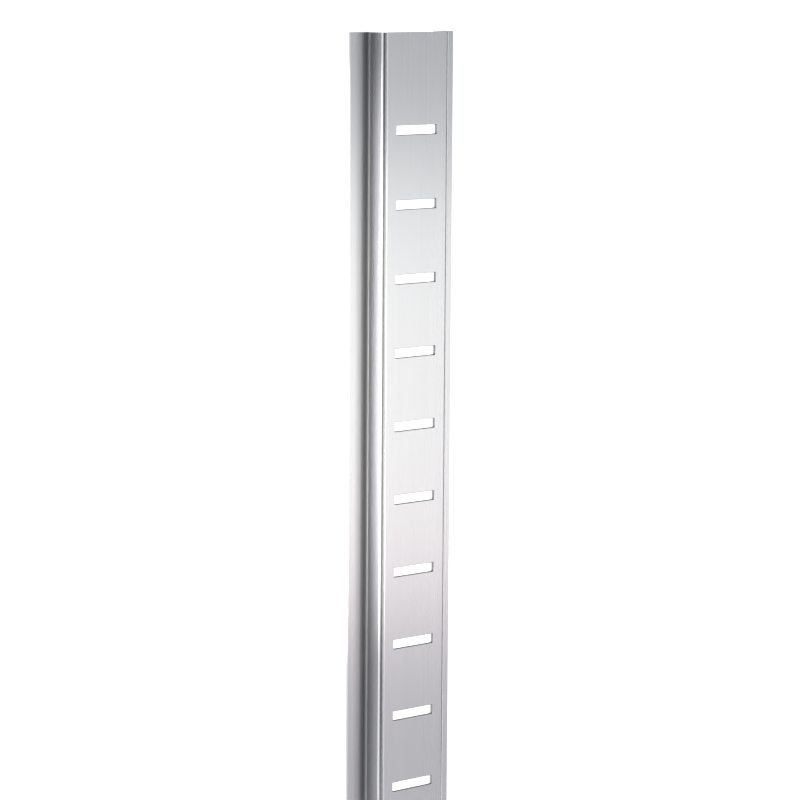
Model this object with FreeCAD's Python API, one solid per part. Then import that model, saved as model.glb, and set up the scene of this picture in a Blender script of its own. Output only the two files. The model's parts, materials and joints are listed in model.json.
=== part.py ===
import FreeCAD, Part
import math
import os

# Slotted shelf standard: one strip of stainless sheet rolled to a hat section.
# X runs across the section, Y along the length, Z from the wall side to the front.
# The flanges lie on Z = 0, the slotted face is on top, and the origin is under the middle.

# Section, mm
OVERALL_WIDTH = 36.0
FACE_WIDTH = 23.0
DEPTH = 7.0
SHEET = 0.8
INNER_BEND_RADIUS = 0.5

# Length, mm
LENGTH = 1820.0

# Slots for the shelf supports, mm
SLOT_WIDTH = 14.0
SLOT_HEIGHT = 2.5
SLOT_PITCH = 20.0
END_TO_FIRST_SLOT = 26.0

OUTER_BEND_RADIUS = INNER_BEND_RADIUS + SHEET


def rounded_outline(corners):
    """Closed wire in the XZ plane; each corner is (x, z, radius) and is rounded by a tangent arc."""
    points = [FreeCAD.Vector(x, 0, z) for x, z, _ in corners]
    radii = [radius for _, _, radius in corners]
    bends = []
    for index, corner in enumerate(points):
        to_before = (points[index - 1] - corner).normalize()
        to_after = (points[(index + 1) % len(points)] - corner).normalize()
        half_angle = to_before.getAngle(to_after) / 2
        trim = radii[index] / math.tan(half_angle)
        inset = radii[index] / math.sin(half_angle) - radii[index]
        middle = corner + (to_before + to_after).normalize() * inset
        bends.append((corner + to_before * trim, middle, corner + to_after * trim))
    edges = []
    for index, (start, middle, end) in enumerate(bends):
        if radii[index] > 0:
            edges.append(Part.Arc(start, middle, end).toShape())
        next_start = bends[(index + 1) % len(bends)][0]
        edges.append(Part.LineSegment(end, next_start).toShape())
    return Part.Wire(edges)


def hat_section():
    """Section of the bent strip: a flange, a side wall, the face, a side wall and a flange."""
    edge = OVERALL_WIDTH / 2
    wall = FACE_WIDTH / 2
    front = [
        (-edge, SHEET, 0),
        (-wall, SHEET, INNER_BEND_RADIUS),
        (-wall, DEPTH, OUTER_BEND_RADIUS),
        (wall, DEPTH, OUTER_BEND_RADIUS),
        (wall, SHEET, INNER_BEND_RADIUS),
        (edge, SHEET, 0),
    ]
    back = [
        (edge, 0, 0),
        (wall - SHEET, 0, OUTER_BEND_RADIUS),
        (wall - SHEET, DEPTH - SHEET, INNER_BEND_RADIUS),
        (-wall + SHEET, DEPTH - SHEET, INNER_BEND_RADIUS),
        (-wall + SHEET, 0, OUTER_BEND_RADIUS),
        (-edge, 0, 0),
    ]
    return Part.Face(rounded_outline(front + back))


def bent_strip():
    """The section along the whole length, both ends cut square."""
    strip = hat_section().extrude(FreeCAD.Vector(0, LENGTH, 0))
    strip.translate(FreeCAD.Vector(0, -LENGTH / 2, 0))
    return strip


def slot_punch():
    """Square-cornered punch for one slot, half a sheet proud of the face's sheet on both sides."""
    proud = SHEET / 2
    corner = FreeCAD.Vector(-SLOT_WIDTH / 2, -SLOT_HEIGHT / 2, DEPTH - SHEET - proud)
    return Part.makeBox(SLOT_WIDTH, SLOT_HEIGHT, SHEET + 2 * proud, corner)


def slot_centres():
    """Y of each slot from the top end down; at least as much plain length is left at the lower end."""
    pitches = int((LENGTH - 2 * END_TO_FIRST_SLOT) // SLOT_PITCH)
    first = LENGTH / 2 - END_TO_FIRST_SLOT
    return [first - SLOT_PITCH * step for step in range(pitches + 1)]


def shelf_standard():
    """The finished standard: the bent strip with its row of slots punched through the face."""
    punches = []
    for centre in slot_centres():
        punch = slot_punch()
        punch.translate(FreeCAD.Vector(0, centre, 0))
        punches.append(punch)
    return bent_strip().cut(Part.makeCompound(punches))


os.makedirs("parts", exist_ok=True)
standard = shelf_standard().Solids[0]
print("valid", standard.isValid(), "slots", len(slot_centres()), "volume", round(standard.Volume))
standard.exportStep("parts/shelf_standard.step")
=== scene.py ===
import json
import math

import bmesh
import bpy
from mathutils import Matrix, Vector


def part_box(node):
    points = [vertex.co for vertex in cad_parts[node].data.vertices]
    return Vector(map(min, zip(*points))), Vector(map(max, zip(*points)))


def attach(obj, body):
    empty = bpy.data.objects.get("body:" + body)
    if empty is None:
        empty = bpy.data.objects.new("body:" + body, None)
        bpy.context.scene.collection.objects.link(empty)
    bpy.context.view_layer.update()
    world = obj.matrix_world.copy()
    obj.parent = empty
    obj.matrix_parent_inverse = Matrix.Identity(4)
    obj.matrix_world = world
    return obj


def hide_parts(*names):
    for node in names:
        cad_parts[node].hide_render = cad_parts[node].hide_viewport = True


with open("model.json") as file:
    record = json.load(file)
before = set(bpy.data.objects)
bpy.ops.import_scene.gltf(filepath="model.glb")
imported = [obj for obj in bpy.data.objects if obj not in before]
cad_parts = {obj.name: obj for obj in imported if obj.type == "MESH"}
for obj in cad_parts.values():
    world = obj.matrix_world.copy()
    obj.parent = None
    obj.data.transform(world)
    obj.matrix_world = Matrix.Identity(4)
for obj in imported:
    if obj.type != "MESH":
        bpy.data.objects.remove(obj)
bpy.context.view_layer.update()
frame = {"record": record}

# The frame: the strip lies along Y on its flanges, the slotted face up, the photographed end at +Y.
strip_low, strip_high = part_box("shelf_standard")
mounts = {mount["name"]: mount for mount in frame["record"]["mounts"]}

# Section of the strip, m
FACE_WIDTH = 0.023
SHEET = 0.0008
INNER_BEND_RADIUS = 0.0005
OUTER_BEND_RADIUS = INNER_BEND_RADIUS + SHEET
BEND_STEPS = 10

# Slots, m
SLOT_WIDTH = 0.014
SLOT_HEIGHT = 0.0025
FIRST_SLOT = mounts["slot_01"]["pos_m"][1]
SLOT_PITCH = FIRST_SLOT - mounts["slot_02"]["pos_m"][1]
SLOT_CORNER = 0.0002
SLOT_CORNER_STEPS = 3

# Edges, m: the punch rolls the front rims of the slots over, and every other cut edge is deburred
ROLL_OVER = 0.00014
ROLL_OVER_STEPS = 4
DEBURR = 0.00007
DEBURR_STEPS = 2
SHARP_ANGLE = math.radians(60)
SAME_HEIGHT = SHEET / 100
FLAT_WEIGHT = 100

# Hairline finish: scratches with the belt, and soft patches where it pressed harder; cells per metre
SCRATCH_CELLS = (2600.0, 9.0, 2600.0)
SCRATCH_DETAIL = 3.0
PATCH_CELLS = (90.0, 14.0, 90.0)
PATCH_DETAIL = 2.0
NOISE_MIDDLE = 0.5
SCRATCH_DRAW = 0.92
QUARTER_TURN = 0.25
FAR_ASIDE = 1000.0

# Tilt, roughness and tone of the surface, and how much each place or mark changes them
SCRATCH_TILT = 0.06
CREST_SMOOTHING = 0.5
ROUGHNESS = 0.28
CREST_BURNISH = 0.10
SHEARED_ROUGHNESS = 0.4
SCRATCH_ROUGHNESS = 0.06
PATCH_ROUGHNESS = 0.04
SCRATCH_TONE = 0.45
PATCH_TONE = 0.5
SHEARED_DULLNESS = 0.7
# How deep the painted shade in the corner beside the side walls goes
CORNER_SHADE_DEPTH = 0.55

# Colours of the metal, by how each place was worked; some of them are painted light and shade, as said where
# they are used
BRUSHED_DARK = (0.56, 0.56, 0.57, 1.0)
BRUSHED_LIGHT = (0.64, 0.64, 0.645, 1.0)
# Crests of the bends: lighter than the brushed metal, a painted highlight
CREST_PAINTED_HIGHLIGHT = (0.70, 0.70, 0.71, 1.0)
# Side walls: lighter and bluer than the brushed metal, which is painted light
SIDE_WALL_PAINTED_LIGHT = (0.66, 0.66, 0.69, 1.0)
# Painted shade for the corner beside the side walls
CORNER_PAINTED_SHADE = (0.05, 0.05, 0.05, 1.0)
# Back of the sheet: mill finish, with a near-white colour that is painted light
MILL_FINISH_PAINTED_LIGHT = (0.85, 0.85, 0.85, 1.0)
# Cut walls: near the metal's tone at the slots' ends, nearly black on their long sides, which is painted
# shade
SHEARED_END = (0.52, 0.52, 0.53, 1.0)
SHEARED_SIDE_PAINTED_SHADE = (0.08, 0.08, 0.085, 1.0)

# Where those places are, m
SURFACE_MARGIN = SHEET / 8
CORNER_MIDDLE = 0.0012
CORNER_HALF_WIDTH = 0.0014

# Which way they face, as a component of the surface's normal
CUT_BELOW = 0.85
TURNED_ALONG = 0.3
SQUARE_CUT = 0.97

# Floor, m: it glows all over, and most in a pool beside the photographed part, before the left side wall
FLOOR_RADIUS = 20.0
FLOOR_SIDES = 96
FLOOR_COLOUR = (0.8, 0.8, 0.8, 1.0)
FLOOR_ROUGHNESS = 0.9
FLOOR_GLOW = 0.9
WHITE = (1.0, 1.0, 1.0, 1.0)
POOL = (7.6, 7.6, 7.6, 1.0)
POOL_MIDDLE = 0.821
POOL_HALF_LENGTH = 0.083
POOL_WIDTH = 0.05

# Studio round the strip: a dim ceiling, and walls that grow brighter downwards and beyond both ends. One part
# of the right wall stays dark, which gives the right bend its dark line. All as components of a direction.
STUDIO_COLOUR = (0.93, 0.96, 1.0, 1.0)
CEILING_GLOW = 0.1
WALL_GLOW = 1.0
WALL_TOP = 0.5
END_WALL_GLOW = 0.4
END_WALL_FROM = 0.35
END_WALL_FULL = 0.65
DARK_MIDDLE = -0.15
DARK_HALF_WIDTH = 0.25

# Panels: how far off they stand, where they begin and end in Y, and their tints. The even ones on the right
# stand behind the bright ones, because panels in one plane would hide each other.
PANEL_REACH = 1.5
MIDDLE_REACH = 1.55
BACK_REACH = 1.6
UPPER = (0.62, 1.15)
LOWER = (-2.0, 0.62)
WHOLE = (-2.0, 1.15)
FOOT = (-2.0, 0.3)
BRIGHT = (0.435, 0.775)
ROSY = (0.41, 0.485)
NEUTRAL = (1.0, 1.0, 1.0)
ROSE = (1.0, 0.0, 0.25)
COOL = (0.965, 1.0, 1.06)
LILAC = (1.005, 0.985, 1.06)
WARM = (1.0, 0.99, 0.93)

# Name, middle angle from straight up towards +X and span, both in degrees, place in Y, radiance, tint, reach
PANELS = [
    ("right_upper_panel", 25.0, 30.0, UPPER, 0.96, COOL, BACK_REACH),
    ("right_lower_panel", 25.0, 30.0, LOWER, 0.96, LILAC, BACK_REACH),
    ("far_right_panel", 47.5, 15.0, WHOLE, 0.55, COOL, BACK_REACH),
    ("top_panel", -12.5, 15.0, WHOLE, 0.76, NEUTRAL, PANEL_REACH),
    ("low_left_panel", -60.0, 40.0, FOOT, 0.5, NEUTRAL, PANEL_REACH),
    ("low_right_panel", 72.0, 28.0, FOOT, 0.6, NEUTRAL, PANEL_REACH),
    ("rosy_right", 25.0, 30.0, ROSY, 0.27, ROSE, MIDDLE_REACH),
    ("bright_right", 25.0, 30.0, BRIGHT, 1.66, WARM, PANEL_REACH),
    ("bright_far_right", 47.5, 15.0, BRIGHT, 0.27, WARM, PANEL_REACH),
    ("bright_top", -17.5, 25.0, BRIGHT, 0.73, WARM, PANEL_REACH),
    ("bright_behind", -50.0, 20.0, BRIGHT, 0.42, WARM, PANEL_REACH),
    ("bright_left", -80.0, 20.0, BRIGHT, 1.77, WARM, PANEL_REACH),
]

# Camera: where it aims on the face, how far off it stands and how it is turned, from the photograph
AIM_BELOW_END = 0.0987
AIM_ACROSS = -0.0053
VIEW_DISTANCE = 0.8555
VIEW_YAW = math.radians(39.95)
VIEW_PITCH = math.radians(8.05)
VIEW_ROLL = math.radians(0.37)
LENS_PIXELS = 3167.0
IMAGE_PIXELS = 800
SENSOR_MM = 36.0
NEAREST_SEEN = 0.05
FARTHEST_SEEN = 60.0


class Signal:
    """A shader output that takes part in sums and products: each one adds its Math node."""

    def __init__(self, shading, socket):
        self.shading = shading
        self.socket = socket

    def _math(self, operation, first, second):
        return self.shading.node("ShaderNodeMath", {"operation": operation}, {0: first, 1: second})

    def __add__(self, other):
        return self._math("ADD", self, other)

    def __radd__(self, other):
        return self._math("ADD", other, self)

    def __sub__(self, other):
        return self._math("SUBTRACT", self, other)

    def __rsub__(self, other):
        return self._math("SUBTRACT", other, self)

    def __mul__(self, other):
        return self._math("MULTIPLY", self, other)

    def __rmul__(self, other):
        return self._math("MULTIPLY", other, self)

    def __abs__(self):
        return self._math("ABSOLUTE", self, 0.0)

    def __gt__(self, other):
        return self._math("GREATER_THAN", self, other)

    def __lt__(self, other):
        return self._math("LESS_THAN", self, other)

    def __or__(self, other):
        return self._math("MAXIMUM", self, other)

    def __and__(self, other):
        return self._math("MINIMUM", self, other)


class Shading:
    """A node tree being filled in: a material's, or the world's."""

    def __init__(self, owner):
        owner.use_nodes = True
        self.tree = owner.node_tree
        self.tree.nodes.clear()

    def node(self, kind, settings=None, inputs=None, output=0):
        """Adds a node, sets it up, then fills its sockets with values or signals."""
        made = self.tree.nodes.new(kind)
        for name, value in (settings or {}).items():
            setattr(made, name, value)
        for name, value in (inputs or {}).items():
            if isinstance(value, Signal):
                self.tree.links.new(value.socket, made.inputs[name])
            else:
                made.inputs[name].default_value = value
        return Signal(self, made.outputs[output]) if made.outputs else None

    def axes(self, vector):
        """The three components of a vector, each a signal of its own."""
        split = self.node("ShaderNodeSeparateXYZ", {}, {"Vector": vector})
        return [Signal(self, socket) for socket in split.socket.node.outputs]

    def vector(self, operation, inputs):
        """Adds a Vector Math node."""
        return self.node("ShaderNodeVectorMath", {"operation": operation}, inputs)

    def mixed(self, share, first, second):
        """Blends two colours; each is a value or a signal."""
        inputs = {"Factor": share, "A": first, "B": second}
        return self.node("ShaderNodeMix", {"data_type": "RGBA"}, inputs, output=2)


# Masks over the strip: across is the distance from its middle line, height the one above the wall side.

def sheared(across, facing):
    """1 on sheared metal: the cut walls of the slots, the steep part of their rims, and the strip's ends."""
    _, along, up = facing
    slot = (across < SLOT_WIDTH / 2 + SHEET) * (abs(up) < CUT_BELOW)
    return slot | (abs(along) > SQUARE_CUT)


def long_sides(facing):
    """1 where the surface turns towards either end of the strip, as a slot's long sides do; their cut walls
    get painted shade.
    """
    return abs(facing[1]) > TURNED_ALONG


def crests(across, height):
    """1 on the outside of the bends beside the face: burnished in the rolls, so smoother, and lighter in
    colour, which is a painted highlight.
    """
    return (across > FACE_WIDTH / 2 - OUTER_BEND_RADIUS) * (height > strip_high.z - OUTER_BEND_RADIUS)


def painted_wall_light(across, height):
    """1 on the outside of the side walls, which get a lighter, bluer colour: painted light standing in for
    light the walls would mirror.
    """
    outside = (across > FACE_WIDTH / 2 - SURFACE_MARGIN) * (across < FACE_WIDTH / 2 + SURFACE_MARGIN)
    return outside * (height > SHEET) * (height < strip_high.z - OUTER_BEND_RADIUS)


def painted_corner_shade(across, height):
    """Up to 1 on the flanges beside the side walls, in the corner where a dark colour is painted shade."""
    aside = (across - (FACE_WIDTH / 2 + CORNER_MIDDLE)) * (1 / CORNER_HALF_WIDTH)
    on_flange = (height > SHEET / 2) * (height < SHEET + DEBURR)
    return ((1 - aside * aside) | 0.0) * on_flange


def back_of_sheet(across, height):
    """1 on the wall side, the channel's inside and the flanges' backs, which keeps the mill's finish; its
    near-white colour is painted light, seen through the slots.
    """
    inside = (across < FACE_WIDTH / 2 - SHEET / 2) * (height < strip_high.z - SHEET + DEBURR)
    return inside | (height < SURFACE_MARGIN)


def hairline_steel():
    """Stainless steel with a hairline finish: fine scratches along Y that fan the reflections sideways."""
    material = bpy.data.materials.new("hairline_stainless")
    shading = Shading(material)
    place = shading.node("ShaderNodeTexCoord", output="Object")
    normal = shading.node("ShaderNodeNewGeometry", output="Normal")
    x, _, height = shading.axes(place)
    across = abs(x)
    facing = shading.axes(normal)
    crest = crests(across, height)
    cut = sheared(across, facing)

    def streaks(cells, detail):
        """Noise drawn out along the strip, counted from its middle."""
        stretched = shading.node("ShaderNodeMapping", {}, {"Vector": place, "Scale": cells})
        inputs = {"Vector": stretched, "Scale": 1.0, "Detail": detail}
        return shading.node("ShaderNodeTexNoise", {}, inputs) - NOISE_MIDDLE

    scratches = streaks(SCRATCH_CELLS, SCRATCH_DETAIL)
    patches = streaks(PATCH_CELLS, PATCH_DETAIL)

    tilt = scratches * SCRATCH_TILT * (1 - crest * CREST_SMOOTHING)
    sideways = shading.vector("CROSS_PRODUCT", {0: normal, 1: (0.0, 1.0, 0.0)})
    lean = shading.vector("SCALE", {0: sideways, "Scale": tilt})
    leaning = shading.vector("ADD", {0: normal, 1: lean})
    scratched = shading.vector("NORMALIZE", {0: leaning})

    worked = ROUGHNESS - crest * CREST_BURNISH + cut * SHEARED_ROUGHNESS
    roughness = worked + scratches * SCRATCH_ROUGHNESS + patches * PATCH_ROUGHNESS

    tone = NOISE_MIDDLE + scratches * SCRATCH_TONE + patches * PATCH_TONE
    brushed = shading.mixed(tone, BRUSHED_DARK, BRUSHED_LIGHT)
    # Painted shade: a dark colour in the corner beside the side walls
    shaded = shading.mixed(painted_corner_shade(across, height) * CORNER_SHADE_DEPTH, brushed, CORNER_PAINTED_SHADE)
    # Painted light: the side walls' lighter, bluer colour
    with_wall_light = shading.mixed(painted_wall_light(across, height), shaded, SIDE_WALL_PAINTED_LIGHT)
    # Painted highlight: the crests' lighter colour
    with_crest_highlight = shading.mixed(crest, with_wall_light, CREST_PAINTED_HIGHLIGHT)
    # Painted light: the near-white back of the sheet, seen through the slots
    sheet = shading.mixed(back_of_sheet(across, height), with_crest_highlight, MILL_FINISH_PAINTED_LIGHT)
    # Cut walls: rougher and less metallic; the nearly black colour on the slots' long sides is painted shade
    colour = shading.mixed(cut, sheet, shading.mixed(long_sides(facing), SHEARED_END, SHEARED_SIDE_PAINTED_SHADE))

    look = {
        "Base Color": colour,
        "Metallic": 1 - cut * SHEARED_DULLNESS,
        "Roughness": roughness,
        "Anisotropic": SCRATCH_DRAW,
        "Anisotropic Rotation": QUARTER_TURN,
        "Normal": scratched,
    }
    surface = shading.node("ShaderNodeBsdfPrincipled", {}, look)
    shading.node("ShaderNodeOutputMaterial", {}, {"Surface": surface})
    return material


def cross_lines():
    """Y of every line across the strip, from the top end down: the ends and both edges of each slot."""
    margin = strip_high.y - FIRST_SLOT
    pitches = int((strip_high.y - strip_low.y - 2 * margin) / SLOT_PITCH)
    lines = [strip_high.y]
    for step in range(pitches + 1):
        centre = FIRST_SLOT - SLOT_PITCH * step
        lines += [centre + SLOT_HEIGHT / 2, centre - SLOT_HEIGHT / 2]
    return lines + [strip_low.y]


def folded_skin():
    """Front skin of the strip with sharp folds, drawn line by line along Y and open at the slots."""
    edge, wall, slot = strip_high.x, FACE_WIDTH / 2, SLOT_WIDTH / 2
    face, flange = strip_high.z, SHEET
    half = [(edge, flange), (wall, flange), (wall, face), (slot, face)]
    corners = [(-x, z) for x, z in half] + half[::-1]
    lines = cross_lines()
    skin = bmesh.new()
    first = [skin.verts.new((x, lines[0], z)) for x, z in corners]
    row = [skin.edges.new(pair) for pair in zip(first, first[1:])]
    punched = []
    for step, (here, there) in enumerate(zip(lines, lines[1:])):
        grown = bmesh.ops.extrude_edge_only(skin, edges=row)["geom"]
        moved = [item for item in grown if isinstance(item, bmesh.types.BMVert)]
        bmesh.ops.translate(skin, verts=moved, vec=(0, there - here, 0))
        edges = [item for item in grown if isinstance(item, bmesh.types.BMEdge)]
        row = [item for item in edges if all(vert in moved for vert in item.verts)]
        if step % 2:
            faces = [item for item in grown if isinstance(item, bmesh.types.BMFace)]
            punched += [item for item in faces if abs(item.calc_center_median().x) < slot]
    bmesh.ops.delete(skin, geom=punched, context="FACES")
    bmesh.ops.recalc_face_normals(skin, faces=skin.faces)
    return skin


def at_height(edge, z):
    """Whether both ends of an edge lie at height z."""
    return all(abs(vert.co.z - z) < SAME_HEIGHT for vert in edge.verts)


def in_slot(edge):
    """Whether an edge belongs to a slot, by how near it is to the middle line."""
    return all(abs(vert.co.x) < SLOT_WIDTH / 2 + SHEET for vert in edge.verts)


def through_sheet(edge):
    """Whether an edge runs through the sheet, from its front to its back."""
    return abs(edge.verts[0].co.z - edge.verts[1].co.z) > SHEET / 2


def at_end(edge):
    """Whether an edge lies at either end of the strip and not at a slot."""
    return abs(edge.verts[0].co.y) >= strip_high.y - SLOT_HEIGHT


def sharp_edges(mesh):
    """Every edge where two faces meet at about a right angle."""
    return [edge for edge in mesh.edges if edge.is_manifold and edge.calc_face_angle() > SHARP_ANGLE]


def rounded(mesh, edges, radius, steps):
    """Rounds the given edges, as a bend or as a broken edge."""
    bmesh.ops.bevel(
        mesh, geom=edges, offset=radius, offset_type="OFFSET", segments=steps,
        profile=0.5, affect="EDGES", material=-1,
    )


def bent_strip():
    """The whole strip: bends rolled, sheet given its thickness, slot rims rolled over, edges deburred."""
    strip = folded_skin()
    for height, radius in ((strip_high.z, OUTER_BEND_RADIUS), (SHEET, INNER_BEND_RADIUS)):
        folds = [edge for edge in sharp_edges(strip) if at_height(edge, height)]
        rounded(strip, folds, radius, BEND_STEPS)
    bmesh.ops.solidify(strip, geom=strip.faces[:], thickness=SHEET)

    corners = [edge for edge in sharp_edges(strip) if in_slot(edge) and through_sheet(edge)]
    rounded(strip, corners, SLOT_CORNER, SLOT_CORNER_STEPS)
    fronts = [edge for edge in sharp_edges(strip) if at_height(edge, strip_high.z)]
    rims = [edge for edge in fronts if in_slot(edge) and not at_end(edge)]
    rounded(strip, rims, ROLL_OVER, ROLL_OVER_STEPS)
    rounded(strip, sharp_edges(strip), DEBURR, DEBURR_STEPS)
    return strip


def linked(name, data):
    """A new object in the scene."""
    made = bpy.data.objects.new(name, data)
    bpy.context.scene.collection.objects.link(made)
    return made


def shelf_standard():
    """The finished piece, standing for the CAD node."""
    mesh = bpy.data.meshes.new("bent_slotted_strip")
    strip = bent_strip()
    strip.to_mesh(mesh)
    strip.free()
    mesh.polygons.foreach_set("use_smooth", [True] * len(mesh.polygons))
    mesh.materials.append(hairline_steel())
    # The shader draws highlights out in rings round the texture space's Z axis. With that axis far to the
    # side, the rings are straight lines along the strip, as the scratches are.
    mesh.use_auto_texspace = False
    mesh.texspace_location = (-FAR_ASIDE, 0.0, 0.0)
    mesh.texspace_size = (1.0, 1.0, 1.0)
    piece = linked("bent_slotted_strip", mesh)
    flats = piece.modifiers.new("flat_shading", "WEIGHTED_NORMAL")
    flats.weight = FLAT_WEIGHT
    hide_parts("shelf_standard")
    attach(piece, "root")


def floor():
    """Plain white floor, lit from below like a light table, so that the slots show white."""
    disc = bmesh.new()
    bmesh.ops.create_circle(disc, cap_ends=True, segments=FLOOR_SIDES, radius=FLOOR_RADIUS)
    mesh = bpy.data.meshes.new("floor")
    disc.to_mesh(mesh)
    disc.free()
    material = bpy.data.materials.new("white_floor")
    shading = Shading(material)
    x, y, _ = shading.axes(shading.node("ShaderNodeTexCoord", output="Object"))
    beside = ((x + (POOL_WIDTH - strip_low.x)) * (1 / POOL_WIDTH) | 0.0) * (x < strip_low.x)
    away = (y - POOL_MIDDLE) * (1 / POOL_HALF_LENGTH)
    pool = beside * ((1 - away * away) | 0.0)
    look = {
        "Base Color": FLOOR_COLOUR,
        "Roughness": FLOOR_ROUGHNESS,
        "Emission Color": shading.mixed(pool, WHITE, POOL),
        "Emission Strength": FLOOR_GLOW,
    }
    surface = shading.node("ShaderNodeBsdfPrincipled", {}, look)
    shading.node("ShaderNodeOutputMaterial", {}, {"Surface": surface})
    mesh.materials.append(material)
    linked("floor", mesh)


def studio():
    """Dim light from a studio whose walls grow brighter downwards and beyond both ends, as said above."""
    world = bpy.data.worlds.new("studio")
    bpy.context.scene.world = world
    shading = Shading(world)
    x, y, height = shading.axes(shading.node("ShaderNodeTexCoord", output="Generated"))
    lit = (abs(y - DARK_MIDDLE) > DARK_HALF_WIDTH) | (x < 0.0)
    down = ((1 - height * (1 / WALL_TOP)) | 0.0) * lit
    beyond = ((abs(y) - END_WALL_FROM) * (1 / (END_WALL_FULL - END_WALL_FROM)) | 0.0) & 1.0
    walls = CEILING_GLOW + down * down * (WALL_GLOW - CEILING_GLOW)
    inputs = {"Color": STUDIO_COLOUR, "Strength": walls | beyond * END_WALL_GLOW}
    glow = shading.node("ShaderNodeBackground", {}, inputs)
    shading.node("ShaderNodeOutputWorld", {}, {"Surface": glow})


def panel(name, angle, span, place, radiance, tint, reach):
    """A soft panel that faces the strip's line, given as in PANELS."""
    start, end = place
    light = bpy.data.lights.new(name, "AREA")
    light.shape = "RECTANGLE"
    light.size = 2 * reach * math.tan(math.radians(span) / 2)
    light.size_y = end - start
    light.energy = radiance * math.pi * light.size * light.size_y
    light.color = tint
    middle = Matrix.Translation((0.0, (start + end) / 2, 0.0))
    turn = Matrix.Rotation(math.radians(angle), 4, "Y")
    linked(name, light).matrix_world = middle @ turn @ Matrix.Translation((0.0, 0.0, reach))


def camera():
    """Camera at the photograph's place beside and beyond the top end, looking down along the strip."""
    lens = bpy.data.cameras.new("photograph")
    lens.sensor_width = SENSOR_MM
    lens.lens = LENS_PIXELS / IMAGE_PIXELS * SENSOR_MM
    lens.clip_start = NEAREST_SEEN
    lens.clip_end = FARTHEST_SEEN
    aside = Matrix.Rotation(-VIEW_YAW, 4, "Y")
    beyond = Matrix.Rotation(-VIEW_PITCH, 4, "X")
    roll = Matrix.Rotation(VIEW_ROLL, 4, "Z")
    aim = Matrix.Translation(Vector((AIM_ACROSS, strip_high.y - AIM_BELOW_END, strip_high.z)))
    eye = linked("photograph", lens)
    eye.matrix_world = aim @ aside @ beyond @ roll @ Matrix.Translation((0.0, 0.0, VIEW_DISTANCE))
    bpy.context.scene.camera = eye


shelf_standard()
floor()
studio()
for settings in PANELS:
    panel(*settings)
camera()
bpy.context.scene.view_settings.view_transform = "Standard"
